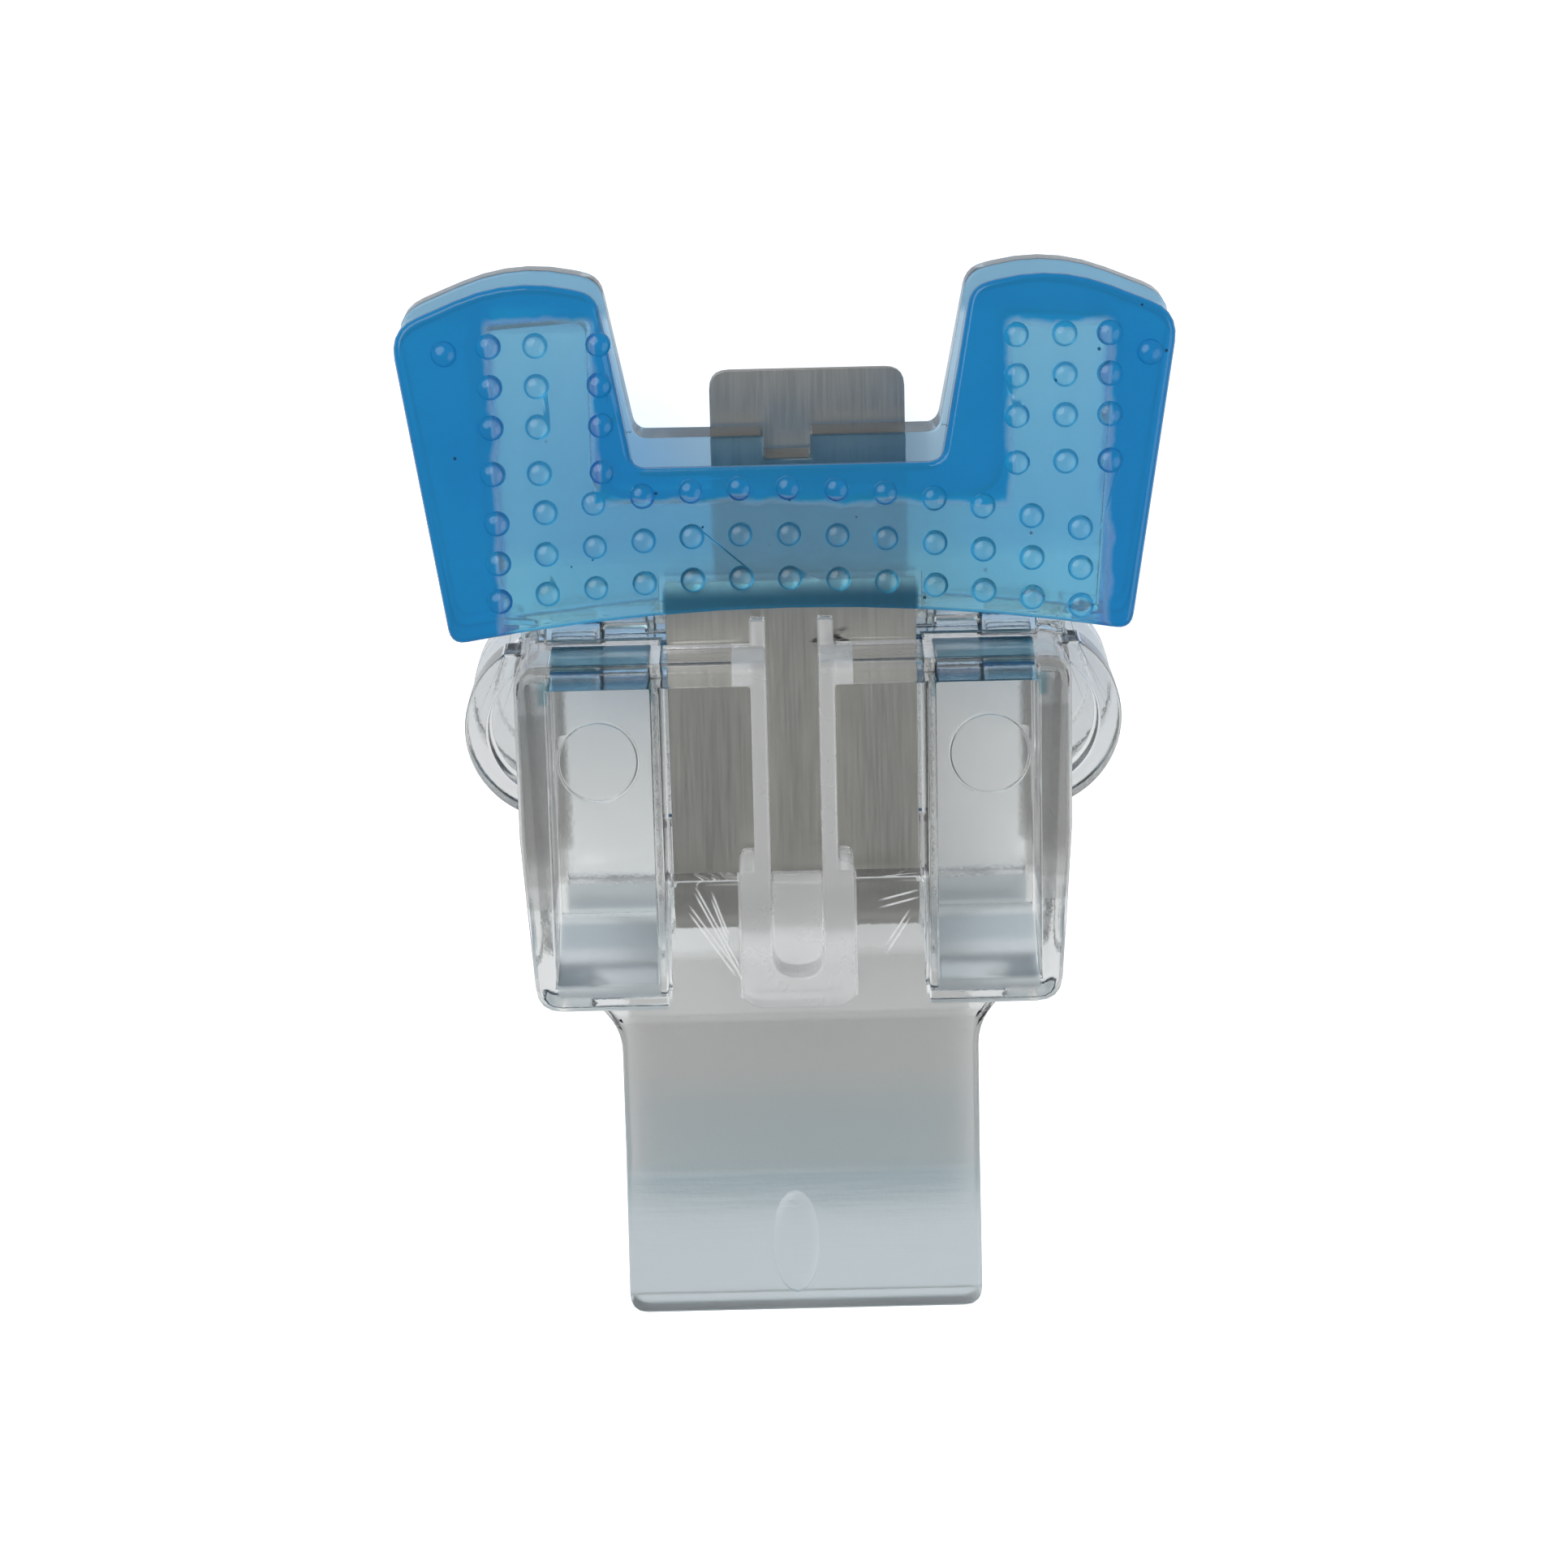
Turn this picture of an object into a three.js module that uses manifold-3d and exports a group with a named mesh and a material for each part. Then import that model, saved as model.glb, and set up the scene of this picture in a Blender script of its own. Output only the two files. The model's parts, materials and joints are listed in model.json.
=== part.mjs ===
// A small two-lever clothespin of clear plastic: a front and a rear lever turn on a steel pin, a
// U-shaped strip spring between the handles closes the jaws, and a soft blue grip covers the front jaw.
//
// Millimetres. +X runs across the clip, +Y towards the jaw tips, +Z towards the front lever.
// The shapes are drawn about the pin: x = y = z = 0 is the middle of the pin. The whole clip is then moved so
// that it lies on the rear lever at z = 0, with its box centred on x = 0 and y = 0.

import * as THREE from 'three';
import { mergeVertices } from 'three/addons/utils/BufferGeometryUtils.js';
import Module from 'manifold-3d';

const wasm = await Module();
wasm.setup();

// ---- Driving dimensions ----

const GAP = 0.3;                     // free space between touching pieces

const HALF_THICKNESS = 8;            // from the middle plane to a lever's outer face
const TIP_Y = 19.8;                  // crown of the jaw tips, in front of the pin
const HANDLE_END_Y = -33.9;          // handle end, behind the pin

// Lever body
const BODY_TOP_Y = 1;
const BODY_BOTTOM_Y = -17.2;
const BODY_HALF_WIDTH = 13.85;
const BODY_BOTTOM_HALF_WIDTH = 13.3;
const OPENING_SLOPE = 0.17;          // how the inner faces lean apart behind the pin
const INNER_Z = 0.35;                // inner face at the pin
const BODY_RIM_RADIUS = 0.6;         // rounding of its outer rim
const TOP_WALL = 1.2;
const SIDE_WALL = 1.1;               // at the body's lower, narrower end

// Middle channel for the spring, between the two pockets
const CHANNEL_HALF_WIDTH = 6.6;
const CHANNEL_WALL = 0.5;
const SEAT_TOP_Z = 2.9;              // the plate under the spring's leg
const SEAT_END_Y = -8.5;
const BRIDGE_Z = 3.9;                // everything that crosses over the spring's leg starts here
const WINDOW_END_Y = -11.1;

// Pockets beside the channel
const POCKET_FLOOR_Z = 2.6;
const POCKET_FLOOR_BEND_Y = -4;
const POCKET_RAMP_Y = -13.6;
const POCKET_RAMP_Z = 4;
const POCKET_END_Y = -16.2;

// Centre rib, a hairpin in front of the spring
const RIB_SLOT_HALF_WIDTH = 1.3;
const RIB_HALF_WIDTH = 2.1;
const RIB_FOOT_HALF_WIDTH = 2.9;
const RIB_FOOT_Y = -9.8;
const RIB_SLOT_END_Y = -15.5;
const RIB_END_Y = -17.1;
const RIB_TIP_Y = 2.4;
const RIB_TIP_Z = 4.9;

// Round side lugs
const LUG_CENTRE_X = 11.8;
const LUG_CENTRE_Y = -3.2;
const LUG_RADIUS = 4.8;
const LUG_TOP_Y = 0.8;
const LUG_RIM = 1.2;
const LUG_Z = [2, 4.4];
const LUG_RECESS_Z = 3.2;
const LUG_ROOT = 0.2;                // how far a lug reaches into the body's side wall

// Handle
const HANDLE_HALF_WIDTH = 9.15;
const HANDLE_THICKNESS = 1.6;
const HANDLE_FLARE = 1.7;            // it widens by this much where it meets the body
const LIP_START_Y = -26.6;
const LIP_START_Z = 6.3;             // outer face where the lip begins
const PLATE_START_Z = 5.5;           // outer face at the windows' lower edge
const PLATE_RISE = 0.4;              // how much higher it lies at the rib's foot
const LIP_STEP = 0.3;
const LIP_STEP_LENGTH = 0.9;

// Jaws
const JAW_HALF_WIDTH = 19.5;
const JAW_SPAN = [-JAW_HALF_WIDTH, JAW_HALF_WIDTH];
const CROWN_X = 13.4;
const TIP_DROP = 2.5;                // from the crown down to a tip's outer corner
const INNER_TIP_DROP = 1;            // and to its inner corner
const JAW_FOOT_HALF_WIDTH = 17.05;
const JAW_FOOT_Y = 1.4;
const JAW_ARCH = 1.5;                // rise of the foot's arched edge
const NOTCH_TOP_HALF_WIDTH = 9.2;
const NOTCH_HALF_WIDTH = 7.7;
const NOTCH_Y = 10.2;
const REAR_NOTCH_Y = 10.7;
const KEY_SLOT_HALF_WIDTH = 1.2;     // small slot in the middle of the rear jaw's notch
const KEY_SLOT_DEPTH = 1.2;
const REAR_JAW_Z = [-2.9, -0.3];
const REAR_TIP_Z = -1.8;
const INSERT_Z = [0.9, 2.9];         // the flat jaw insert inside the grip
const INSERT_OFFSET_X = 0.5;         // it sits a little to the right in the grip
const INSERT_HALF_WIDTH = 16;
const INSERT_FOOT_HALF_WIDTH = 15;
const INSERT_NECK_Y = [1.9, 2];      // it widens at the grip's mouth, from the body's width to its own
const INSERT_TIP_Y = 16.9;
const INSERT_TIP_SLANT = 0.4;
const INSERT_NOTCH_HALF_WIDTH = 10.3;
const INSERT_NOTCH_Y = 8.1;
const BOOT_Z = [0.1, 5];
const BOOT_TIP_Z = 3.4;              // its front face slopes down to the tips

// Pin and knuckles
const PIN_RADIUS = 0.85;
const PIN_X = [-13.1, 12.3];
const KNUCKLE_RADIUS = 1.75;
const FRONT_KNUCKLE_X = [7.3, 9.6];
const REAR_KNUCKLE_X = [9.9, 12.2];

// Spring strip
const STRIP_HALF_WIDTH = 6.3;
const STRIP_THICKNESS = 0.4;
const LEG_Z = 3.4;
const BEND_Y = -11.5;
const FRONT_LEG_TIP_Y = 4.2;
const REAR_SHOULDER_Y = 3;
const TONGUE_X = [-3.9, 6.1];
const TONGUE_TIP_Y = 13.5;

const OVERLAP = 0.2;                 // joined solids reach this far into each other
const ROUND_STEPS = 32;
const ARCH_STEPS = 10;
const RIM_STEPS = 4;
const BEND_STEPS = 20;

// ---- Solids ----

function solid(geometry) {
  const bare = geometry.clone();
  bare.deleteAttribute('normal');
  bare.deleteAttribute('uv');
  const merged = mergeVertices(bare, 1e-4);
  return new wasm.Manifold(new wasm.Mesh({
    numProp: 3,
    vertProperties: new Float32Array(merged.attributes.position.array),
    triVerts: new Uint32Array(merged.index.array),
  }));
}

function geometryOf(manifold) {
  const mesh = manifold.getMesh();
  const geometry = new THREE.BufferGeometry();
  geometry.setAttribute('position', new THREE.BufferAttribute(new Float32Array(mesh.vertProperties), 3));
  geometry.setIndex(new THREE.BufferAttribute(new Uint32Array(mesh.triVerts), 1));
  return geometry;
}

function mesh(name, manifold, material) {
  const geometry = geometryOf(manifold);
  geometry.computeVertexNormals();
  const piece = new THREE.Mesh(geometry, material);
  piece.name = name;
  return piece;
}

// A shape whose corners are [x, y] or [x, y, radius].
function roundedShape(corners) {
  const shape = new THREE.Shape();
  corners.forEach(([x, y, radius = 0], index) => {
    const corner = new THREE.Vector2(x, y);
    const before = new THREE.Vector2(...corners.at(index - 1).slice(0, 2));
    const after = new THREE.Vector2(...corners[(index + 1) % corners.length].slice(0, 2));
    const start = before.sub(corner).setLength(radius).add(corner);
    const end = after.sub(corner).setLength(radius).add(corner);
    if (index === 0) shape.moveTo(start.x, start.y);
    else shape.lineTo(start.x, start.y);
    if (radius > 0) shape.quadraticCurveTo(corner.x, corner.y, end.x, end.y);
  });
  shape.closePath();
  return shape;
}

// The right half's corners, from bottom to top, followed by the same corners on the left, from top to bottom.
function mirrored(rightCorners) {
  const left = rightCorners.map(([x, ...rest]) => [-x, ...rest]).reverse();
  return [...rightCorners, ...left];
}

// A shape in the XY plane, from one height to another.
function slab(shape, [low, high], steps = 5) {
  const geometry = new THREE.ExtrudeGeometry(shape, {
    depth: high - low,
    bevelEnabled: false,
    curveSegments: steps,
  });
  return solid(geometry.translate(0, 0, low));
}

// The same, with its rims rounded at the top and bottom.
function roundedSlab(shape, [low, high], radius) {
  const geometry = new THREE.ExtrudeGeometry(shape, {
    depth: high - low - 2 * radius,
    bevelThickness: radius,
    bevelSize: radius,
    bevelOffset: -radius,
    bevelSegments: RIM_STEPS,
    curveSegments: RIM_STEPS,
  });
  return solid(geometry.translate(0, 0, low + radius));
}

// Turns a shape drawn in XY and extruded along Z into a profile in YZ, run along X.
const alongX = new THREE.Matrix4().makeBasis(
  new THREE.Vector3(0, 1, 0),
  new THREE.Vector3(0, 0, 1),
  new THREE.Vector3(1, 0, 0),
);

// A shape of (y, z) points, run along X.
function railOf(shape, [left, right], steps) {
  const geometry = new THREE.ExtrudeGeometry(shape, {
    depth: right - left,
    bevelEnabled: false,
    curveSegments: steps,
  });
  return solid(geometry.applyMatrix4(alongX).translate(left, 0, 0));
}

const rail = (corners, range, steps = 5) => railOf(roundedShape(corners), range, steps);

function block([x0, x1], [y0, y1], [z0, z1]) {
  const geometry = new THREE.BoxGeometry(x1 - x0, y1 - y0, z1 - z0);
  return solid(geometry.translate((x0 + x1) / 2, (y0 + y1) / 2, (z0 + z1) / 2));
}

// A round bar on the pin's axis.
function pinBar(radius, [left, right]) {
  const geometry = new THREE.CylinderGeometry(radius, radius, right - left, ROUND_STEPS);
  return solid(geometry.rotateZ(Math.PI / 2).translate((left + right) / 2, 0, 0));
}

const span = (low, high, side) => (side > 0 ? [low, high] : [-high, -low]);
const grown = ([low, high], by) => [low - by, high + by];
const SIDES = [-1, 1];

// ---- The lever that both halves share, drawn as the front one ----

const innerZ = (y) => INNER_Z + OPENING_SLOPE * Math.max(0, -y);
const FRONT_REACH = HALF_THICKNESS + 1;    // past the outer face, for cuts that open forwards

function bodyBlock() {
  const plan = roundedShape(mirrored([
    [BODY_BOTTOM_HALF_WIDTH, BODY_BOTTOM_Y, 1.3],
    [BODY_HALF_WIDTH, LUG_CENTRE_Y - LUG_RADIUS],
    [BODY_HALF_WIDTH, BODY_TOP_Y, 1.2],
  ]));
  const profile = [
    [BODY_BOTTOM_Y, innerZ(BODY_BOTTOM_Y)],
    [0, INNER_Z],
    [BODY_TOP_Y, INNER_Z],
    [BODY_TOP_Y, HALF_THICKNESS],
    [BODY_BOTTOM_Y, HALF_THICKNESS],
  ];
  const sides = [-BODY_HALF_WIDTH, BODY_HALF_WIDTH];
  const depth = [-HALF_THICKNESS, HALF_THICKNESS];
  return rail(profile, sides).intersect(roundedSlab(plan, depth, BODY_RIM_RADIUS));
}

// Open from the inner face under the handle plate, and from the front face over the spring's leg.
function channelCut() {
  const width = [-CHANNEL_HALF_WIDTH, CHANNEL_HALF_WIDTH];
  const overLeg = block(width, [BODY_BOTTOM_Y - 1, BODY_TOP_Y - TOP_WALL], [SEAT_TOP_Z, FRONT_REACH]);
  const underTopWall = block(width, [BODY_TOP_Y - TOP_WALL - 1, BODY_TOP_Y + 1], [SEAT_TOP_Z, BRIDGE_Z]);
  const bendRoom = block(width, [BODY_BOTTOM_Y - 1, SEAT_END_Y], [-1, FRONT_REACH]);
  return overLeg.add(underTopWall).add(bendRoom);
}

function pocketCut(side) {
  const profile = [
    [BODY_TOP_Y - TOP_WALL, POCKET_FLOOR_Z, 0.5],
    [BODY_TOP_Y - TOP_WALL, FRONT_REACH],
    [POCKET_END_Y, FRONT_REACH],
    [POCKET_RAMP_Y, POCKET_RAMP_Z, 0.8],
    [POCKET_FLOOR_BEND_Y, POCKET_FLOOR_Z],
  ];
  const width = span(CHANNEL_HALF_WIDTH + CHANNEL_WALL, BODY_BOTTOM_HALF_WIDTH - SIDE_WALL, side);
  return rail(profile, width);
}

function lug(side) {
  const disc = (radius) => {
    const shape = new THREE.Shape();
    shape.absarc(side * LUG_CENTRE_X, LUG_CENTRE_Y, radius, 0, 2 * Math.PI);
    return shape;
  };
  const outerX = LUG_CENTRE_X + LUG_RADIUS;
  const topY = LUG_CENTRE_Y + LUG_RADIUS;
  const bottomY = LUG_CENTRE_Y - LUG_RADIUS;
  const depth = [LUG_Z[0], FRONT_REACH];
  const outside = span(BODY_BOTTOM_HALF_WIDTH - LUG_ROOT, outerX + 1, side);
  const plate = slab(disc(LUG_RADIUS), LUG_Z, ROUND_STEPS);
  const recess = slab(disc(LUG_RADIUS - LUG_RIM), [LUG_RECESS_Z, FRONT_REACH], ROUND_STEPS);
  const recessTop = block([-outerX, outerX], [LUG_TOP_Y - LUG_RIM, topY], depth);
  const shown = block(outside, [bottomY - 1, LUG_TOP_Y], depth);
  return plate.subtract(recess.subtract(recessTop)).intersect(shown);
}

function handle() {
  const rootY = BODY_BOTTOM_Y + OVERLAP;
  const plan = roundedShape(mirrored([
    [HANDLE_HALF_WIDTH, HANDLE_END_Y, 1.1],
    [HANDLE_HALF_WIDTH, BODY_BOTTOM_Y - HANDLE_FLARE, 1.2],
    [HANDLE_HALF_WIDTH + HANDLE_FLARE, rootY],
    [CHANNEL_HALF_WIDTH + OVERLAP, rootY],
    [CHANNEL_HALF_WIDTH + OVERLAP, WINDOW_END_Y],
  ]));
  const profile = [
    [WINDOW_END_Y, BRIDGE_Z],
    [WINDOW_END_Y, PLATE_START_Z, 0.3],
    [LIP_START_Y + LIP_STEP_LENGTH, LIP_START_Z],
    [LIP_START_Y, LIP_START_Z + LIP_STEP],
    [HANDLE_END_Y, HALF_THICKNESS, 0.6],
    [HANDLE_END_Y, HALF_THICKNESS - HANDLE_THICKNESS - LIP_STEP, 0.5],
    [LIP_START_Y, LIP_START_Z - HANDLE_THICKNESS],
  ];
  const width = [-HANDLE_HALF_WIDTH - HANDLE_FLARE, HANDLE_HALF_WIDTH + HANDLE_FLARE];
  return rail(profile, width).intersect(slab(plan, [0, HALF_THICKNESS]));
}

function rib() {
  const outline = roundedShape(mirrored([
    [RIB_FOOT_HALF_WIDTH, RIB_END_Y, 1.2],
    [RIB_FOOT_HALF_WIDTH, RIB_FOOT_Y, 0.4],
    [RIB_HALF_WIDTH, RIB_FOOT_Y, 0.2],
    [RIB_HALF_WIDTH, BODY_TOP_Y - BODY_RIM_RADIUS],
  ]));
  const width = [-RIB_HALF_WIDTH, RIB_HALF_WIDTH];
  const tips = block(width, [BODY_TOP_Y - OVERLAP, RIB_TIP_Y], [BRIDGE_Z, RIB_TIP_Z]);
  return slab(outline, [BRIDGE_Z, HALF_THICKNESS]).add(tips);
}

function ribSlot() {
  const outline = roundedShape(mirrored([
    [RIB_SLOT_HALF_WIDTH, RIB_SLOT_END_Y, 1.25],
    [RIB_SLOT_HALF_WIDTH, RIB_TIP_Y + 1],
  ]));
  const overPlate = slab(outline, [PLATE_START_Z + PLATE_RISE, FRONT_REACH]);
  const width = [-RIB_SLOT_HALF_WIDTH, RIB_SLOT_HALF_WIDTH];
  const overWindows = block(width, [WINDOW_END_Y + 0.01, RIB_TIP_Y + 1], [BRIDGE_Z - 0.5, FRONT_REACH]);
  return overPlate.add(overWindows);
}

function knuckle([left, right]) {
  const arm = block([left, right], [-KNUCKLE_RADIUS, BODY_TOP_Y], [0, POCKET_FLOOR_Z]);
  return pinBar(KNUCKLE_RADIUS, [left, right]).add(arm);
}

// A lever with its own knuckles, cut clear of the pin and of the other lever's knuckles.
function lever(ownKnuckleX, otherKnuckleX) {
  let result = bodyBlock().subtract(channelCut());
  for (const side of SIDES) result = result.subtract(pocketCut(side));
  result = result.add(handle()).add(rib()).subtract(ribSlot());
  for (const side of SIDES) result = result.add(lug(side)).add(knuckle(span(...ownKnuckleX, side)));
  return withPinCuts(result, otherKnuckleX);
}

function withPinCuts(part, otherKnuckleX) {
  let result = part.subtract(pinBar(PIN_RADIUS + GAP, [-BODY_HALF_WIDTH - 1, BODY_HALF_WIDTH + 1]));
  for (const side of SIDES) {
    const clearance = grown(span(...otherKnuckleX, side), GAP);
    result = result.subtract(pinBar(KNUCKLE_RADIUS + GAP, clearance));
  }
  return result;
}

// ---- Jaws ----

// The jaw's plan: two prongs on a band with an arched foot.
function jawPlan(notchY) {
  const arch = [];
  for (let step = 1; step < ARCH_STEPS; step += 1) {
    const across = (2 * step) / ARCH_STEPS - 1;
    arch.push([across * JAW_FOOT_HALF_WIDTH, JAW_FOOT_Y + JAW_ARCH * (1 - across ** 2)]);
  }
  const right = [
    [JAW_FOOT_HALF_WIDTH, JAW_FOOT_Y, 0.8],
    [JAW_HALF_WIDTH, TIP_Y - TIP_DROP, 1.5],
    [CROWN_X, TIP_Y, 3],
    [NOTCH_TOP_HALF_WIDTH, TIP_Y - INNER_TIP_DROP, 0.9],
    [NOTCH_HALF_WIDTH, notchY, 0.7],
  ];
  return roundedShape([...arch, ...mirrored(right)]);
}

function rearJaw() {
  const slope = [
    [0, REAR_JAW_Z[0]],
    [REAR_NOTCH_Y, REAR_JAW_Z[0]],
    [TIP_Y, REAR_TIP_Z],
    [TIP_Y, REAR_JAW_Z[1]],
    [0, REAR_JAW_Z[1]],
  ];
  const neckTopY = JAW_FOOT_Y + JAW_ARCH + OVERLAP;
  const neck = block([-BODY_HALF_WIDTH, BODY_HALF_WIDTH], [0, neckTopY], REAR_JAW_Z);
  const keySlot = block(
    [-KEY_SLOT_HALF_WIDTH, KEY_SLOT_HALF_WIDTH],
    [REAR_NOTCH_Y - KEY_SLOT_DEPTH, REAR_NOTCH_Y + 1],
    grown(REAR_JAW_Z, 1),
  );
  const plate = slab(jawPlan(REAR_NOTCH_Y), REAR_JAW_Z);
  return plate.intersect(rail(slope, JAW_SPAN)).add(neck).subtract(keySlot);
}

// The insert is smaller than the grip, whose rim is solid rubber beyond it.
function insertPlan(clearance) {
  const tipY = INSERT_TIP_Y + clearance;
  const corners = mirrored([
    [BODY_HALF_WIDTH - INSERT_OFFSET_X + clearance, 0],
    [BODY_HALF_WIDTH - INSERT_OFFSET_X + clearance, INSERT_NECK_Y[0]],
    [INSERT_FOOT_HALF_WIDTH + clearance, INSERT_NECK_Y[1]],
    [INSERT_HALF_WIDTH + clearance, tipY, 1.2],
    [INSERT_NOTCH_HALF_WIDTH - clearance, tipY + INSERT_TIP_SLANT, 0.8],
    [INSERT_NOTCH_HALF_WIDTH - clearance, INSERT_NOTCH_Y + clearance, 1.8],
  ]);
  return roundedShape(corners.map(([x, ...rest]) => [x + INSERT_OFFSET_X, ...rest]));
}

function frontHalf() {
  const insert = slab(insertPlan(0), INSERT_Z);
  return withPinCuts(lever(FRONT_KNUCKLE_X, REAR_KNUCKLE_X).add(insert), REAR_KNUCKLE_X);
}

function rearHalf() {
  const turned = geometryOf(lever(REAR_KNUCKLE_X, FRONT_KNUCKLE_X)).rotateY(Math.PI);
  return withPinCuts(solid(turned).add(rearJaw()), FRONT_KNUCKLE_X);
}

// Hollow, with its mouth at the foot: the insert and the front leg's tip slide into it.
function gripBoot() {
  const slope = [
    [0, BOOT_Z[0]],
    [TIP_Y, BOOT_Z[0]],
    [TIP_Y, BOOT_TIP_Z],
    [0, BOOT_Z[1]],
  ];
  const outside = slab(jawPlan(NOTCH_Y), BOOT_Z).intersect(rail(slope, JAW_SPAN));
  const insertRoom = slab(insertPlan(GAP), grown(INSERT_Z, GAP));
  const legRoom = block(
    [-STRIP_HALF_WIDTH - GAP, STRIP_HALF_WIDTH + GAP],
    [0, FRONT_LEG_TIP_Y + GAP],
    [INSERT_Z[1], BRIDGE_Z],
  );
  return outside.subtract(insertRoom).subtract(legRoom);
}

// ---- Steel ----

function pivotPin() {
  return pinBar(PIN_RADIUS, PIN_X);
}

function uSpring() {
  const outer = LEG_Z + STRIP_THICKNESS / 2;
  const inner = LEG_Z - STRIP_THICKNESS / 2;
  const loop = new THREE.Shape();
  loop.moveTo(TONGUE_TIP_Y, -outer);
  loop.lineTo(TONGUE_TIP_Y, -inner);
  loop.lineTo(BEND_Y, -inner);
  loop.absarc(BEND_Y, 0, inner, -Math.PI / 2, Math.PI / 2, true);
  loop.lineTo(FRONT_LEG_TIP_Y, inner);
  loop.lineTo(FRONT_LEG_TIP_Y, outer);
  loop.lineTo(BEND_Y, outer);
  loop.absarc(BEND_Y, 0, outer, Math.PI / 2, -Math.PI / 2, false);
  loop.closePath();
  const strip = railOf(loop, [-STRIP_HALF_WIDTH, STRIP_HALF_WIDTH], BEND_STEPS);
  const tonguePlan = roundedShape([
    [-STRIP_HALF_WIDTH - 1, REAR_SHOULDER_Y],
    [-STRIP_HALF_WIDTH - 1, BEND_Y - outer - 1],
    [STRIP_HALF_WIDTH + 1, BEND_Y - outer - 1],
    [STRIP_HALF_WIDTH + 1, REAR_SHOULDER_Y],
    [TONGUE_X[1], REAR_SHOULDER_Y],
    [TONGUE_X[1], TONGUE_TIP_Y, 1],
    [TONGUE_X[0], TONGUE_TIP_Y, 1],
    [TONGUE_X[0], REAR_SHOULDER_Y],
  ]);
  const rearSide = slab(tonguePlan, [-LEG_Z - 1, 0]);
  const frontSide = block([-10, 10], [BEND_Y - outer - 1, FRONT_LEG_TIP_Y + 1], [-0.01, LEG_Z + 1]);
  return strip.intersect(rearSide.add(frontSide));
}

// ---- Materials and assembly ----

const clearPlastic = (name) => new THREE.MeshStandardMaterial({
  name,
  color: 0xd6dde0,
  roughness: 0.15,
  metalness: 0,
  transparent: true,
  opacity: 0.4,
});
const blueRubber = new THREE.MeshStandardMaterial({
  name: 'blue_rubber',
  color: 0x1687c3,
  roughness: 0.35,
  metalness: 0,
});
const springSteel = new THREE.MeshStandardMaterial({
  name: 'spring_steel',
  color: 0x8a8680,
  roughness: 0.4,
  metalness: 1,
});
const polishedSteel = new THREE.MeshStandardMaterial({
  name: 'polished_steel',
  color: 0xb9bcc0,
  roughness: 0.15,
  metalness: 1,
});

const clothespin = new THREE.Group();
clothespin.add(mesh('front_half', frontHalf(), clearPlastic('front_plastic')));
clothespin.add(mesh('rear_half', rearHalf(), clearPlastic('rear_plastic')));
clothespin.add(mesh('grip_boot', gripBoot(), blueRubber));
clothespin.add(mesh('u_spring', uSpring(), springSteel));
clothespin.add(mesh('pivot_pin', pivotPin(), polishedSteel));
const box = new THREE.Box3().setFromObject(clothespin);
clothespin.position.set(0, -(box.min.y + box.max.y) / 2, -box.min.z);

export default clothespin;
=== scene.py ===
# A small clear clothespin with a soft blue grip, lying on its rear lever in soft studio light.
# Metres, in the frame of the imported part: +X across the clip, +Y to the jaw tips, +Z to the front lever.
# Constants are in millimetres unless they say otherwise, and places in them are measured from the middle of
# the hinge pin.

import json
import math

import bmesh
import bpy
from mathutils import Matrix, Vector


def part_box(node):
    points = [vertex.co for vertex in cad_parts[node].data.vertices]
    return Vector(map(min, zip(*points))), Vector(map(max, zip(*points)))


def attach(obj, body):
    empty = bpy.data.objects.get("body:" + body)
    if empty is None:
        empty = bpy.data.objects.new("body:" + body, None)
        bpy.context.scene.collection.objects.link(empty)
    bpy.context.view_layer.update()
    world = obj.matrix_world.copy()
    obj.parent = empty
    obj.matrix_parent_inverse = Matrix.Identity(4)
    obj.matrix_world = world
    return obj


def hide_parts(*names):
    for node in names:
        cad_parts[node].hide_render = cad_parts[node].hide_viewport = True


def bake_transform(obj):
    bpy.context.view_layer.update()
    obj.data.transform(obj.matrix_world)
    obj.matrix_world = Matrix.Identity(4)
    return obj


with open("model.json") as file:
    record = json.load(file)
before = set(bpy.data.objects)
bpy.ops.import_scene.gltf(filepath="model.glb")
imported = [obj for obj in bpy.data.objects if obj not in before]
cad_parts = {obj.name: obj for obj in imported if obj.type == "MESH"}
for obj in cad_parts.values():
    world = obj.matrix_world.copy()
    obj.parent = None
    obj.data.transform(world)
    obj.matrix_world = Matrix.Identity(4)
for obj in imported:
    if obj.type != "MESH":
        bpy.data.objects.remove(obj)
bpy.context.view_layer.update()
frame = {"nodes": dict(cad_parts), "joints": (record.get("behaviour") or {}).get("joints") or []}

MM = 0.001
PIN = Vector(frame["joints"][0]["pos_m"])

# Camera
TARGET = (-0.54, -7.67, 0)
CAMERA_DISTANCE = 205
CAMERA_TILT = 17                     # degrees from straight down, towards the jaw tips
CAMERA_ROLL = -1.35                  # degrees
LENS = 90.7
SENSOR = 36

# Studio, in metres and watts
WORLD_COLOUR = (0.3, 0.31, 0.33, 1)
FLOOR_REACH = 1.5
LAMP_SIZE = 0.5
LAMPS = [
    ("key", (-0.25, 0.25, 0.5), 1.8),
    ("fill", (0.35, -0.1, 0.4), 0.8),
]

# The CAD triangles are welded and joined where they are this close and this flat
WELD = 0.002
FLAT_ANGLE = 0.8                     # degrees
SHARP_ANGLE = 30                     # edges sharper than this are rounded
CREASE_ANGLE = 50                    # and sharper than this stay creases in the shading
ON_FACE = 0.02                       # a place this close to a face counts as on it

# Moulded edges, as rounding widths
PLASTIC_EDGE = 0.14
HANDLE_EDGE = 0.25
RUBBER_EDGE = 0.35
STRIP_EDGE = 0.05
PIN_EDGE = 0.2

# Where the handle and its lip begin
HANDLE_Y = -18.5
LIP_Y = -26.6

FAR = 40                             # past the whole clip

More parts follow.
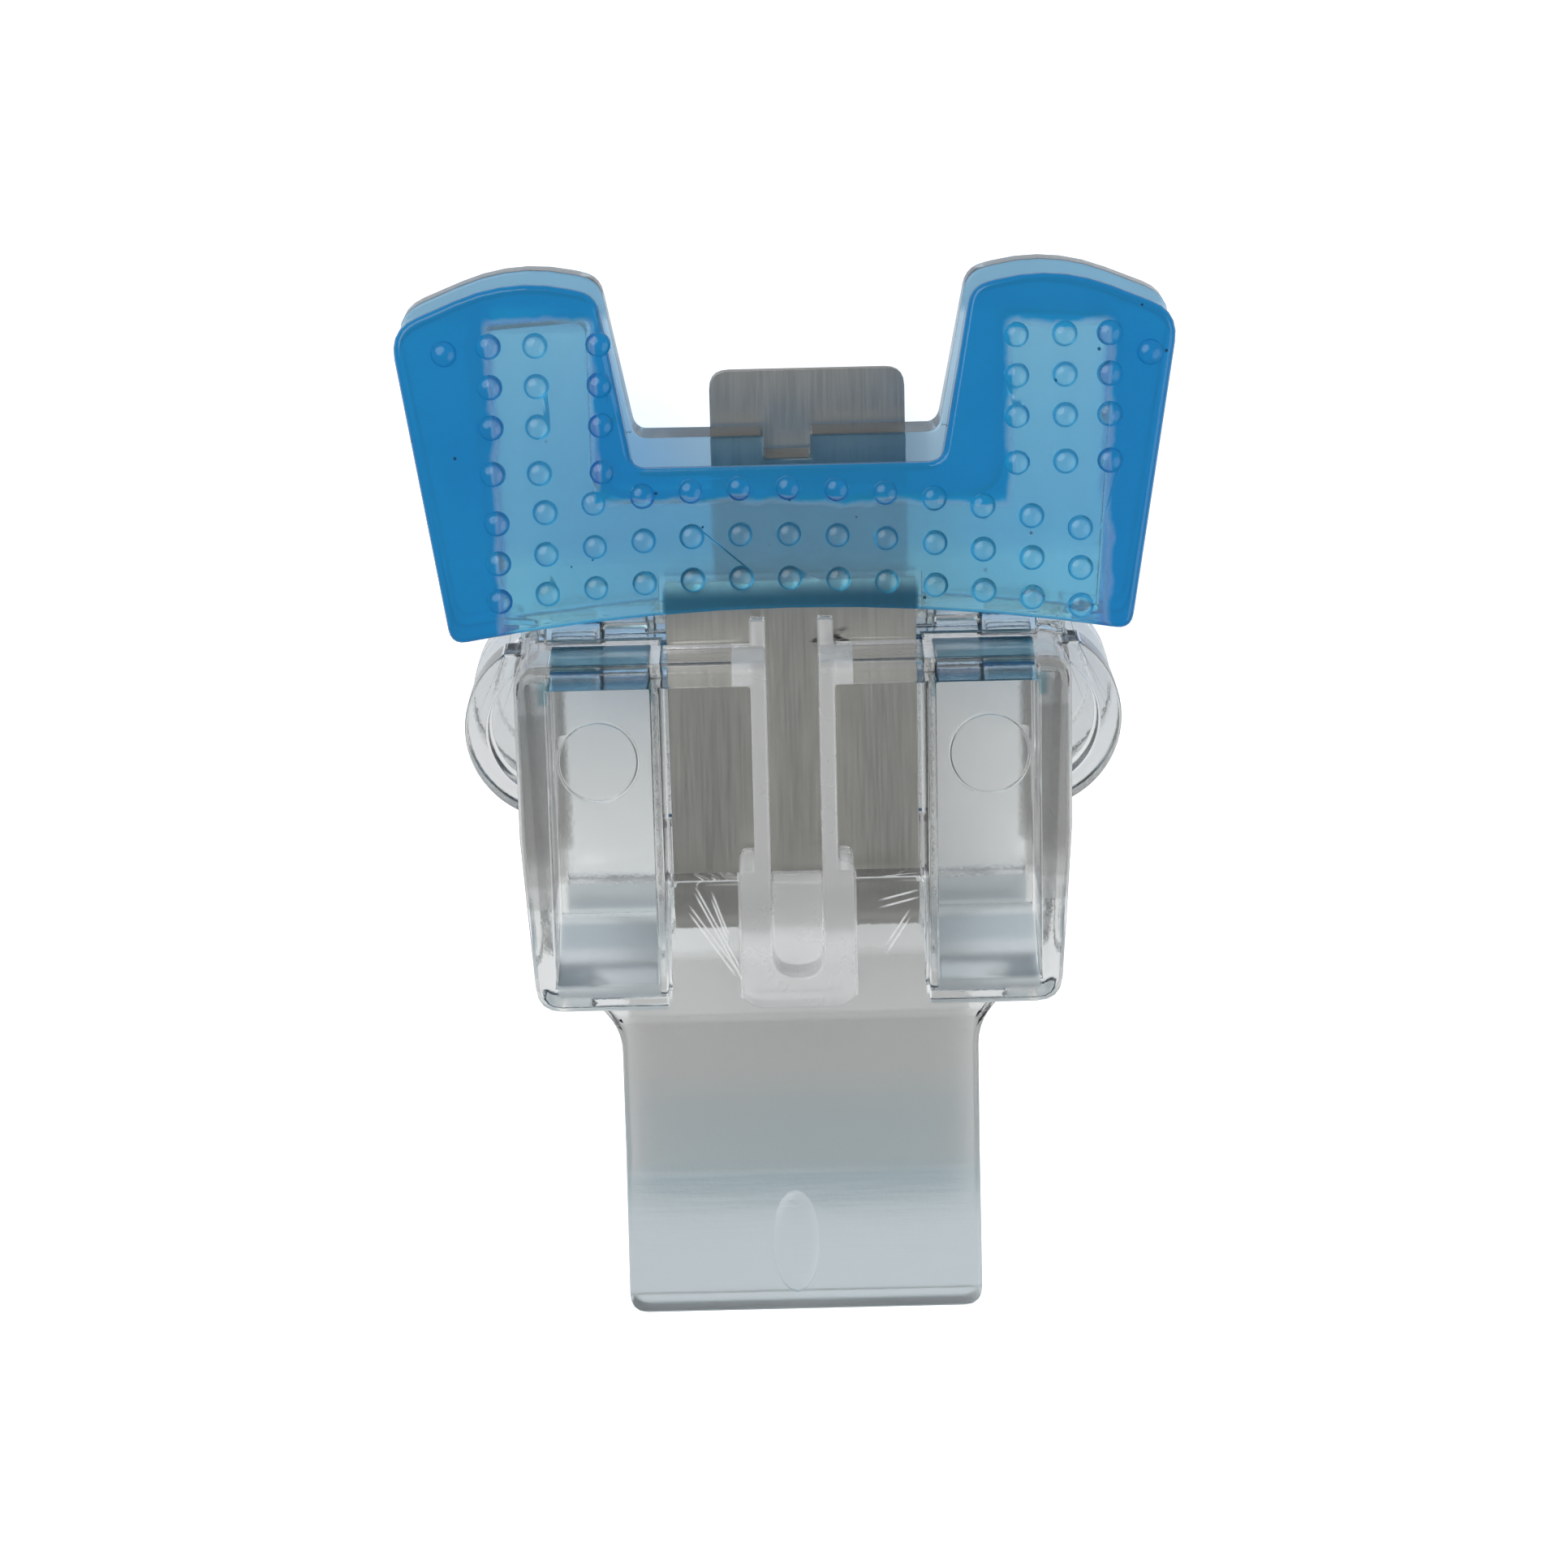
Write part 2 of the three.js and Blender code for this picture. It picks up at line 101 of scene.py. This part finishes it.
# Where the clear plastic looks greyer, bluer or duller: across from and to, along from and to, then colour
# and roughness. Two rows are painted light: painted shade on the outer side walls, and a painted reflection
# of the blue grip over the hinge pin.
CLEAR = (0.95, 0.955, 0.95, 1)
TINTS = [
    (-FAR, FAR, -FAR, HANDLE_Y, (0.70, 0.70, 0.69, 1), 0.3),
    (-FAR, FAR, -FAR, LIP_Y, (0.61, 0.67, 0.69, 1), 0.3),
    (-FAR, FAR, 5, FAR, (0.66, 0.83, 0.90, 1), 0.08),
    (-FAR, FAR, 16.8, FAR, (0.32, 0.56, 0.70, 1), 0.15),
    # Painted shade: the outer side walls greyed where they would refract darker surroundings
    (11.8, 13.7, -11.6, -1.4, (0.60, 0.60, 0.59, 1), 0.2),
    (7, 12.2, -16.3, -13.6, (0.53, 0.60, 0.64, 1), 0.4),
    # Painted reflection: a dark teal band over the hinge pin, standing for the blue grip mirrored in it
    (6.9, 12.6, -0.9, 0.3, (0.28, 0.56, 0.66, 1), 0.1),
]
TINT_BLUR = 0.15

# Scratches on the front lever beside the rib's foot: from x and y, to x and y
SCRATCHES = [
    ((-5.1, -11.9), (-2.4, -17.3)),
    ((-5.4, -12.9), (-3.3, -16.0)),
    ((-4.3, -12.2), (-3.6, -14.2)),
    ((4.4, -12.6), (6.0, -12.2)),
    ((4.6, -14.9), (5.6, -13.4)),
]
SCRATCH_WIDTH = 0.05
SCRATCH_CLOUDINESS = 0.7

# Marks left by moulding: a round ring on each pocket's floor and an oval one on the handle's lip
EJECTOR_X = 10
EJECTOR_Y = -5.4
EJECTOR_RADIUS = 2.05
EJECTOR_WIDTH = 0.18
EJECTOR_HEIGHT = 0.08
RING_ROOT = 0.1
RING_SIDES = 48
POCKET_FLOOR_Z = 2.6
POCKET_FLOOR_BEND_Y = -4
POCKET_FLOOR_SLOPE = 0.146
GATE = (-0.45, -30.2)
GATE_RADIUS = 1.25
GATE_STRETCH = 2.16
GATE_HEIGHT = 0.12
LIP_Z = 6.6                          # the lip's outer face at LIP_Y
LIP_SLOPE = 0.192

# The centre rib, which looks frosted
RIB_HALF_WIDTH = 3
RIB_Z = 4.5
RIB_END_Y = -17.3
RIB_TIP_Y = 5
RIB_CLOUDINESS = 0.35
RIB_ROUGHNESS = 0.2                  # added to the plastic's own

# Nubs on the grip
NUB_RADIUS = 0.64
NUB_HEIGHT = 0.3
NUB_SIDES = 20
NUB_RINGS = 4
NUB_ROOT = 0.3
BAND_ROWS = [(4.5, 1.3), (6.7, 1.6), (9.0, 1.9)]     # y in the middle, and the row's drop at its ends
BAND_END_X = 14.5
BAND_COLUMNS = 13
ROW_LEAN = -0.03
PRONG_COLUMNS = [-14.6, -12.3, -9.2, 11.4, 13.8, 16.0]
PRONG_ROWS = [16.3, 14.3, 12.3, 10.0]
OUTER_NUBS = [(-16.8, 16.0), (18.0, 15.3)]

# What shows through the grip: the clear insert, and the tip of the spring's front leg
NUB_BENDS = 0.9                      # how far a nub's slope shifts what is seen through it
INSERT_OFFSET_X = 0.7
INSERT_FOOT_HALF_WIDTH = 15.05
INSERT_LEAN = 0.02                   # how much wider it gets towards the tips
INSERT_TIP_Y = 17.2
INSERT_NOTCH_HALF_WIDTH = 10.3
INSERT_NOTCH_Y = 8.3
INSERT_TURN = -0.022                 # it sits a little turned in the grip
LEG_TIP_Y = 3.9
LEG_HALF_WIDTH = 6.4
BORDER_BLUR = 0.3
BORDER_WAVE = 0.9

# The grip's outline
TIP_LEAN = 0.29                      # how the grip's upper walls lean back, per depth
LEANING_FROM_Y = 5


def at(x, y, z):
    """The frame's point for a place in millimetres from the middle of the pin."""
    return PIN + Vector((x, y, z)) * MM


def from_pin(point):
    """The place in millimetres from the middle of the pin of a point in the frame."""
    return (point - PIN) / MM


# ---- Mesh helpers ----

def link(name, mesh):
    piece = bpy.data.objects.new(name, mesh)
    bpy.context.scene.collection.objects.link(piece)
    return piece


def link_bmesh(name, bm):
    bmesh.ops.recalc_face_normals(bm, faces=bm.faces)
    mesh = bpy.data.meshes.new(name)
    bm.to_mesh(mesh)
    bm.free()
    return link(name, mesh)


def copy_of(node, name):
    """A new piece with a CAD node's shape, its triangles joined into flat faces."""
    mesh = frame["nodes"][node].data.copy()
    mesh.materials.clear()
    bm = bmesh.new()
    bm.from_mesh(mesh)
    bmesh.ops.remove_doubles(bm, verts=bm.verts, dist=WELD * MM)
    bmesh.ops.dissolve_limit(bm, angle_limit=math.radians(FLAT_ANGLE), verts=bm.verts, edges=bm.edges)
    bm.to_mesh(mesh)
    bm.free()
    return link(name, mesh)


def apply_modifiers(piece):
    graph = bpy.context.evaluated_depsgraph_get()
    mesh = bpy.data.meshes.new_from_object(piece.evaluated_get(graph))
    piece.modifiers.clear()
    piece.data = mesh


def add_solid(piece, other):
    modifier = piece.modifiers.new("add", "BOOLEAN")
    modifier.operation = "UNION"
    modifier.solver = "MANIFOLD"
    modifier.object = other
    apply_modifiers(piece)
    bpy.data.objects.remove(other)
    shade(piece)


def round_edges(piece, width_at):
    """Rounds the sharp edges, each by the width that width_at gives for its middle, in millimetres."""
    bm = bmesh.new()
    bm.from_mesh(piece.data)
    weights = bm.edges.layers.float.new("bevel_weight_edge")
    for edge in bm.edges:
        if edge.is_manifold and edge.calc_face_angle() > math.radians(SHARP_ANGLE):
            edge[weights] = width_at(from_pin((edge.verts[0].co + edge.verts[1].co) / 2))
    bm.to_mesh(piece.data)
    bm.free()
    bevel = piece.modifiers.new("edges", "BEVEL")
    bevel.width = MM
    bevel.segments = 2
    bevel.limit_method = "WEIGHT"
    bevel.use_clamp_overlap = False
    apply_modifiers(piece)
    shade(piece)


def shade(piece):
    """Smooth shading that keeps the large faces flat."""
    for polygon in piece.data.polygons:
        polygon.use_smooth = True
    piece.data.set_sharp_from_angle(angle=math.radians(CREASE_ANGLE))
    weighted = piece.modifiers.new("shading", "WEIGHTED_NORMAL")
    weighted.weight = 100
    weighted.keep_sharp = True
    apply_modifiers(piece)


def finish_piece(piece, material, body, node, slot):
    piece.data.materials.clear()
    piece.data.materials.append(material)
    if body is not None:
        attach(piece, body)
    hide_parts(node)


def dome(bm, foot, outward, up, radius, height, stretch=1):
    """A low dome on a face, with a short root below it. stretch is its length along up over its width."""
    side = outward.cross(up).normalized()
    loops = []
    steps = [math.pi / 2 * k / NUB_RINGS for k in range(NUB_RINGS)]
    profile = [(-NUB_ROOT, radius)] + [(height * math.sin(a), radius * math.cos(a)) for a in steps]
    for rise, reach in profile:
        loop = []
        for step in range(NUB_SIDES):
            turn = 2 * math.pi * step / NUB_SIDES
            spoke = side * math.cos(turn) + up * math.sin(turn) * stretch
            loop.append(bm.verts.new(foot + (outward * rise + spoke * reach) * MM))
        loops.append(loop)
    top = bm.verts.new(foot + outward * height * MM)
    for low, high in zip(loops, loops[1:]):
        for k in range(NUB_SIDES):
            j = (k + 1) % NUB_SIDES
            bm.faces.new((low[k], low[j], high[j], high[k]))
    for k in range(NUB_SIDES):
        bm.faces.new((loops[-1][k], loops[-1][(k + 1) % NUB_SIDES], top))
    bm.faces.new(reversed(loops[0]))


# ---- Grip ----

def nub_places():
    places = list(OUTER_NUBS)
    for middle_y, drop in BAND_ROWS:
        for column in range(BAND_COLUMNS):
            share = 2 * column / (BAND_COLUMNS - 1) - 1
            x = share * BAND_END_X
            places.append((x, middle_y - drop * share ** 2 + ROW_LEAN * x))
    for x in PRONG_COLUMNS:
        for y in PRONG_ROWS:
            places.append((x, y))
    return places


def front_slope(piece):
    """The grip's sloping front face as its outward normal and a point on it, read from the mesh."""
    face = max(piece.data.polygons, key=lambda polygon: polygon.area * polygon.normal.z)
    return face.normal.copy(), face.center.copy()


def grip():
    piece = copy_of("grip_boot", "grip_sleeve")
    outward, on_face = front_slope(piece)
    back_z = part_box("grip_boot")[0].z

    def front_z(point):
        away = point - on_face
        return on_face.z - (away.x * outward.x + away.y * outward.y) / outward.z

    for vertex in piece.data.vertices:
        point = vertex.co
        if point.z < back_z + ON_FACE * MM and from_pin(point).y > LEANING_FROM_Y:
            point.y -= TIP_LEAN * (front_z(point) - back_z)

    def width_at(middle):
        point = at(*middle)
        if abs(front_z(point) - point.z) < ON_FACE * MM:
            return RUBBER_EDGE
        if point.z < back_z + ON_FACE * MM:
            return RUBBER_EDGE / 2
        return 0

    round_edges(piece, width_at)
    bm = bmesh.new()
    up = outward.cross(Vector((1, 0, 0)))
    for x, y in nub_places():
        foot = at(x, y, 0)
        foot.z = front_z(foot)
        dome(bm, foot, outward, up, NUB_RADIUS, NUB_HEIGHT)
    add_solid(piece, link_bmesh("nubs", bm))
    finish_piece(piece, blue_rubber(), "front_lever", "grip_boot", "blue_rubber")


# ---- Materials ----

class Graph:
    """A material and short ways to add and join its nodes."""

    def __init__(self, name):
        self.material = bpy.data.materials.new(name)
        self.material.use_nodes = True
        self.nodes = self.material.node_tree.nodes
        self.links = self.material.node_tree.links
        self.shader = self.nodes["Principled BSDF"]
        self.output = self.nodes["Material Output"]
        self.place = self.nodes.new("ShaderNodeTexCoord").outputs["Object"]

    def join(self, value, socket):
        if isinstance(value, bpy.types.NodeSocket):
            self.links.new(value, socket)
        else:
            socket.default_value = value

    def set(self, **values):
        for name, value in values.items():
            self.join(value, self.shader.inputs[name.replace("_", " ")])

    def math(self, operation, a, b=0.0, c=0.0):
        node = self.nodes.new("ShaderNodeMath")
        node.operation = operation
        for value, socket in zip((a, b, c), node.inputs):
            self.join(value, socket)
        return node.outputs[0]

    def map(self, value, low, high, to_low=0.0, to_high=1.0):
        node = self.nodes.new("ShaderNodeMapRange")
        node.interpolation_type = "SMOOTHSTEP"
        for item, socket in zip((value, low, high, to_low, to_high), node.inputs):
            self.join(item, socket)
        return node.outputs[0]

    def product(self, first, *others):
        for other in others:
            first = self.math("MULTIPLY", first, other)
        return first

    def above(self, value, limit, blur):
        """1 where a value in metres is over a limit in millimetres."""
        return self.map(value, (limit - blur) * MM, (limit + blur) * MM)

    def below(self, value, limit, blur):
        return self.map(value, (limit - blur) * MM, (limit + blur) * MM, 1.0, 0.0)

    def within(self, value, low, high, blur):
        return self.product(self.above(value, low, blur), self.below(value, high, blur))

    def stroke(self, across, along, start, end):
        """1 along a thin straight stroke between two places."""
        way = Vector(end) - Vector(start)
        step = way.normalized()
        out_x = self.math("SUBTRACT", across, start[0] * MM)
        out_y = self.math("SUBTRACT", along, start[1] * MM)
        ahead = self.math("MULTIPLY_ADD", out_x, step.x, self.math("MULTIPLY", out_y, step.y))
        aside = self.math("MULTIPLY_ADD", out_x, step.y, self.math("MULTIPLY", out_y, -step.x))
        near = self.below(self.math("ABSOLUTE", aside), SCRATCH_WIDTH, 0.02)
        return self.product(near, self.within(ahead, 0, way.length, 0.4))

    def mix(self, share, a, b):
        node = self.nodes.new("ShaderNodeMix")
        node.data_type = "RGBA"
        self.join(share, node.inputs[0])
        self.join(a, node.inputs[6])
        self.join(b, node.inputs[7])
        return node.outputs[2]

    def from_pin(self):
        """How far a place is from the middle of the pin along X, Y and Z, in metres."""
        split = self.nodes.new("ShaderNodeSeparateXYZ")
        self.links.new(self.place, split.inputs[0])
        return [self.math("SUBTRACT", split.outputs[axis], PIN[axis]) for axis in range(3)]

    def normal(self):
        """The surface normal's three parts."""
        split = self.nodes.new("ShaderNodeSeparateXYZ")
        self.links.new(self.nodes.new("ShaderNodeNewGeometry").outputs["Normal"], split.inputs[0])
        return list(split.outputs)

    def noise(self, size, detail=3.0, stretch=(1, 1, 1)):
        """Noise whose features are about size millimetres, longer along the stretched axes."""
        mapping = self.nodes.new("ShaderNodeMapping")
        self.links.new(self.place, mapping.inputs["Vector"])
        mapping.inputs["Scale"].default_value = [1 / (size * MM * s) for s in stretch]
        node = self.nodes.new("ShaderNodeTexNoise")
        self.links.new(mapping.outputs[0], node.inputs["Vector"])
        node.inputs["Scale"].default_value = 1
        node.inputs["Detail"].default_value = detail
        return node.outputs[0]

    def specks(self, pitch, radius, share):
        """Small round specks, one in each cell of pitch millimetres, in about this share of the cells."""
        node = self.nodes.new("ShaderNodeTexVoronoi")
        self.links.new(self.place, node.inputs["Vector"])
        node.inputs["Scale"].default_value = 1 / (pitch * MM)
        near = self.math("LESS_THAN", node.outputs["Distance"], radius / pitch)
        split = self.nodes.new("ShaderNodeSeparateColor")
        self.links.new(node.outputs["Color"], split.inputs[0])
        chosen = self.math("LESS_THAN", split.outputs[0], share)
        return self.product(near, chosen)

    def bump(self, height, distance, strength=1.0):
        """distance is in millimetres."""
        node = self.nodes.new("ShaderNodeBump")
        node.inputs["Strength"].default_value = strength
        node.inputs["Distance"].default_value = distance * MM
        self.join(height, node.inputs["Height"])
        self.links.new(node.outputs[0], self.shader.inputs["Normal"])

    def lamps_through(self, tint):
        """Lets the lamps' light through, so that the piece casts only a pale shadow."""
        clear = self.nodes.new("ShaderNodeBsdfTransparent")
        clear.inputs["Color"].default_value = tint
        path = self.nodes.new("ShaderNodeLightPath")
        mix = self.nodes.new("ShaderNodeMixShader")
        self.links.new(path.outputs["Is Shadow Ray"], mix.inputs[0])
        self.links.new(self.shader.outputs[0], mix.inputs[1])
        self.links.new(clear.outputs[0], mix.inputs[2])
        self.links.new(mix.outputs[0], self.output.inputs["Surface"])


def clear_plastic(name, scratches):
    graph = Graph(name)
    x, along, z = graph.from_pin()
    across = graph.math("ABSOLUTE", x)
    depth = graph.math("ABSOLUTE", z)
    roughness = graph.math("MULTIPLY_ADD", graph.noise(3.0), 0.1, 0.03)
    colour = CLEAR
    for x_from, x_to, y_from, y_to, tint, dullness in TINTS:
        in_x = graph.within(across, x_from, x_to, TINT_BLUR)
        in_y = graph.within(along, y_from, y_to, TINT_BLUR)
        share = graph.product(in_x, in_y)
        colour = graph.mix(share, colour, tint)
        roughness = graph.math("MAXIMUM", roughness, graph.product(share, dullness))
    on_rib = graph.product(
        graph.below(across, RIB_HALF_WIDTH, 0.05),
        graph.above(depth, RIB_Z, 0.1),
        graph.within(along, RIB_END_Y, RIB_TIP_Y, 0.05),
    )
    roughness = graph.math("MULTIPLY_ADD", on_rib, RIB_ROUGHNESS, roughness)
    cloudy = graph.product(on_rib, RIB_CLOUDINESS)
    for start, end in scratches:
        scratch = graph.product(graph.stroke(x, along, start, end), SCRATCH_CLOUDINESS)
        cloudy = graph.math("MAXIMUM", cloudy, scratch)
    clearness = graph.math("SUBTRACT", 1.0, cloudy)
    graph.set(Base_Color=colour, Transmission_Weight=clearness, IOR=1.5, Roughness=roughness)
    grain = graph.product(graph.noise(0.25), 0.3)
    streaks = graph.product(graph.noise(0.5, stretch=(14, 1, 1)), graph.below(along, LIP_Y, 0.2), 1.5)
    graph.bump(graph.math("ADD", streaks, grain), 0.03, 0.6)
    graph.lamps_through((0.93, 0.94, 0.94, 1))
    return graph.material


def thin_rubber(graph):
    """1 where the grip is only a skin over the clear insert, 0 in its solid border."""
    x, y, _ = graph.from_pin()
    normal_x, normal_y, _ = graph.normal()
    wave = graph.product(graph.math("SUBTRACT", graph.noise(2.0), 0.5), BORDER_WAVE * MM)
    seen_x = graph.math("MULTIPLY_ADD", normal_x, NUB_BENDS * MM, graph.math("ADD", x, wave))
    seen_y = graph.math("MULTIPLY_ADD", normal_y, NUB_BENDS * MM, graph.math("ADD", y, wave))
    across = graph.math("ABSOLUTE", graph.math("SUBTRACT", seen_x, INSERT_OFFSET_X * MM))
    along = graph.math("MULTIPLY_ADD", seen_x, -INSERT_TURN, seen_y)
    widening = graph.product(graph.math("MAXIMUM", along, 0.0), INSERT_LEAN)
    narrowed = graph.math("SUBTRACT", across, widening)
    in_sides = graph.below(narrowed, INSERT_FOOT_HALF_WIDTH, BORDER_BLUR)
    in_tips = graph.below(along, INSERT_TIP_Y, BORDER_BLUR)
    in_prong = graph.above(across, INSERT_NOTCH_HALF_WIDTH, BORDER_BLUR)
    in_band = graph.below(along, INSERT_NOTCH_Y, BORDER_BLUR)
    return graph.product(in_sides, in_tips, graph.math("MAXIMUM", in_prong, in_band))


def on_leg(graph):
    """1 over the tip of the spring's front leg."""
    x, along, _ = graph.from_pin()
    in_sides = graph.below(graph.math("ABSOLUTE", x), LEG_HALF_WIDTH, 0.1)
    return graph.product(in_sides, graph.below(along, LEG_TIP_Y, 0.5))


def slant(graph):
    """How far the surface leans away from the front, as on a nub's flank."""
    return graph.math("SUBTRACT", 1.0, graph.math("ABSOLUTE", graph.normal()[2]))


def blue_rubber():
    graph = Graph("blue_rubber")
    thin = thin_rubber(graph)
    cloud = graph.noise(4.0)
    grain = graph.noise(0.3, detail=4.0)
    dust = graph.specks(1.1, 0.09, 0.12)
    deep = graph.mix(cloud, (0.012, 0.33, 0.62, 1), (0.02, 0.39, 0.68, 1))
    light = graph.mix(cloud, (0.78, 0.93, 0.96, 1), (0.88, 0.97, 0.99, 1))
    light = graph.mix(on_leg(graph), light, (0.12, 0.34, 0.45, 1))
    # Painted shade: faces leaning away from the front, as on the nubs' flanks, darkened towards deep blue
    light = graph.mix(graph.map(slant(graph), 0.04, 0.25, 0.0, 0.9), light, (0.05, 0.38, 0.62, 1))
    colour = graph.mix(dust, graph.mix(thin, deep, light), (0.01, 0.08, 0.14, 1))
    graph.set(Base_Color=colour, Transmission_Weight=graph.map(thin, 0.0, 1.0, 0.52, 0.9), IOR=1.42)
    graph.set(Roughness=graph.math("MULTIPLY_ADD", grain, 0.1, 0.07))
    graph.bump(grain, 0.02, 0.4)
    volume = graph.nodes.new("ShaderNodeVolumeAbsorption")
    volume.inputs["Color"].default_value = (0.125, 0.85, 0.9625, 1)
    volume.inputs["Density"].default_value = 650
    graph.links.new(volume.outputs[0], graph.output.inputs["Volume"])
    graph.lamps_through((0.6, 0.8, 0.95, 1))
    return graph.material


def spring_steel():
    graph = Graph("spring_steel")
    _, along, _ = graph.from_pin()
    grain = graph.noise(0.12, detail=5.0, stretch=(1, 30, 1))
    stain = graph.map(graph.noise(1.6, detail=4.0, stretch=(2.5, 1, 1)), 0.57, 0.63)
    stain = graph.product(stain, graph.within(along, 0.4, 1.6, 0.5))
    colour = graph.mix(grain, (0.33, 0.325, 0.30, 1), (0.43, 0.42, 0.39, 1))
    graph.set(Base_Color=graph.mix(stain, colour, (0.02, 0.02, 0.02, 1)), Metallic=1.0)
    graph.set(Roughness=graph.math("MULTIPLY_ADD", grain, 0.2, 0.3))
    graph.bump(grain, 0.01, 0.4)
    return graph.material


def polished_steel():
    graph = Graph("polished_steel")
    lines = graph.noise(0.15, detail=4.0, stretch=(1, 12, 12))
    # Painted light: the side facing the jaws is painted as the lit side, and the side facing the handle dark
    # teal as a painted reflection of the blue grip.
    facing_jaw = graph.map(graph.normal()[1], 0.1, 0.4)
    painted_lit_side = graph.mix(lines, (0.60, 0.63, 0.66, 1), (0.7, 0.72, 0.74, 1))
    painted_blue_reflection = graph.mix(lines, (0.06, 0.17, 0.22, 1), (0.10, 0.22, 0.28, 1))
    graph.set(Base_Color=graph.mix(facing_jaw, painted_blue_reflection, painted_lit_side), Metallic=1.0)
    graph.set(Roughness=graph.math("MULTIPLY_ADD", lines, 0.1, 0.08))
    return graph.material


def floor_paper():
    """White to the camera, and a little greyer to what shines through the clear plastic."""
    graph = Graph("floor_paper")
    fibre = graph.noise(1.5, detail=5.0)
    path = graph.nodes.new("ShaderNodeLightPath")
    glow = graph.map(path.outputs["Is Camera Ray"], 0.0, 1.0, 0.15, 0.75)
    graph.set(Base_Color=graph.mix(fibre, (0.80, 0.80, 0.80, 1), (0.84, 0.84, 0.84, 1)), Roughness=0.8)
    graph.set(Emission_Color=(1, 1, 1, 1), Emission_Strength=glow)
    return graph.material


# ---- Levers and steel ----

def pocket_floor(y):
    return POCKET_FLOOR_Z + POCKET_FLOOR_SLOPE * max(0, POCKET_FLOOR_BEND_Y - y)


def ring(bm, x, y, radius, width, height):
    """A low round ridge on a pocket's floor."""
    edge = width / 2
    section = [(-edge, -RING_ROOT), (edge, -RING_ROOT), (edge, height / 2), (0, height), (-edge, height / 2)]
    loops = []
    for step in range(RING_SIDES):
        turn = 2 * math.pi * step / RING_SIDES
        loop = []
        for out, rise in section:
            reach = radius + out
            ring_y = y + reach * math.sin(turn)
            loop.append(bm.verts.new(at(x + reach * math.cos(turn), ring_y, pocket_floor(ring_y) + rise)))
        loops.append(loop)
    for k in range(RING_SIDES):
        near, far = loops[k], loops[(k + 1) % RING_SIDES]
        for m in range(len(section)):
            n = (m + 1) % len(section)
            bm.faces.new((near[m], far[m], far[n], near[n]))


def mould_marks():
    bm = bmesh.new()
    for side in (-1, 1):
        ring(bm, side * EJECTOR_X, EJECTOR_Y, EJECTOR_RADIUS, EJECTOR_WIDTH, EJECTOR_HEIGHT)
    x, y = GATE
    foot = at(x, y, LIP_Z + LIP_SLOPE * (LIP_Y - y))
    outward = Vector((0, LIP_SLOPE, 1)).normalized()
    up = outward.cross(Vector((1, 0, 0)))
    dome(bm, foot, outward, up, GATE_RADIUS, GATE_HEIGHT, GATE_STRETCH)
    return link_bmesh("mould_marks", bm)


def lever_edge(middle):
    return HANDLE_EDGE if middle.y < HANDLE_Y else PLASTIC_EDGE


def levers():
    for node, name, body, slot, shown in [
        ("front_half", "front_shell", "front_lever", "front_plastic", True),
        ("rear_half", "rear_shell", "rear_lever", "rear_plastic", False),
    ]:
        piece = copy_of(node, name)
        round_edges(piece, lever_edge)
        if shown:
            add_solid(piece, mould_marks())
        material = clear_plastic(slot, SCRATCHES if shown else [])
        finish_piece(piece, material, body, node, slot)


def spring():
    piece = copy_of("u_spring", "spring_strip")
    round_edges(piece, lambda middle: STRIP_EDGE)
    finish_piece(piece, spring_steel(), None, "u_spring", "spring_steel")
    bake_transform(piece)


def pin():
    piece = copy_of("pivot_pin", "hinge_pin")
    round_edges(piece, lambda middle: PIN_EDGE)
    finish_piece(piece, polished_steel(), "rear_lever", "pivot_pin", "polished_steel")


# ---- Studio ----

def studio():
    scene = bpy.context.scene
    scene.view_settings.view_transform = "Standard"
    world = bpy.data.worlds.new("studio")
    world.use_nodes = True
    world.node_tree.nodes["Background"].inputs["Color"].default_value = WORLD_COLOUR
    scene.world = world
    mesh = bpy.data.meshes.new("floor")
    corners = [(x * FLOOR_REACH, y * FLOOR_REACH, 0) for x, y in ((-1, -1), (1, -1), (1, 1), (-1, 1))]
    mesh.from_pydata(corners, [], [(0, 1, 2, 3)])
    floor = link("floor", mesh)
    floor.data.materials.append(floor_paper())
    for name, place, power in LAMPS:
        lamp = bpy.data.lights.new(name, "AREA")
        lamp.shape = "DISK"
        lamp.size = LAMP_SIZE
        lamp.energy = power
        light = bpy.data.objects.new(name, lamp)
        scene.collection.objects.link(light)
        light.location = place
        light.rotation_euler = (PIN - Vector(place)).to_track_quat("-Z", "Y").to_euler()


def camera():
    tilt = math.radians(CAMERA_TILT)
    back = Vector((0, math.sin(tilt), math.cos(tilt)))
    up = Vector((0, math.cos(tilt), -math.sin(tilt)))
    turn = Matrix((Vector((1, 0, 0)), up, back)).transposed()
    roll = Matrix.Rotation(math.radians(CAMERA_ROLL), 3, "Z")
    lens = bpy.data.cameras.new("camera")
    lens.lens = LENS
    lens.sensor_width = SENSOR
    lens.clip_start = 0.01
    lens.clip_end = 10
    view = bpy.data.objects.new("camera", lens)
    bpy.context.scene.collection.objects.link(view)
    place = at(*TARGET) + back * CAMERA_DISTANCE * MM
    view.matrix_world = Matrix.Translation(place) @ (turn @ roll).to_4x4()
    bpy.context.scene.camera = view


camera()
studio()
levers()
grip()
spring()
pin()
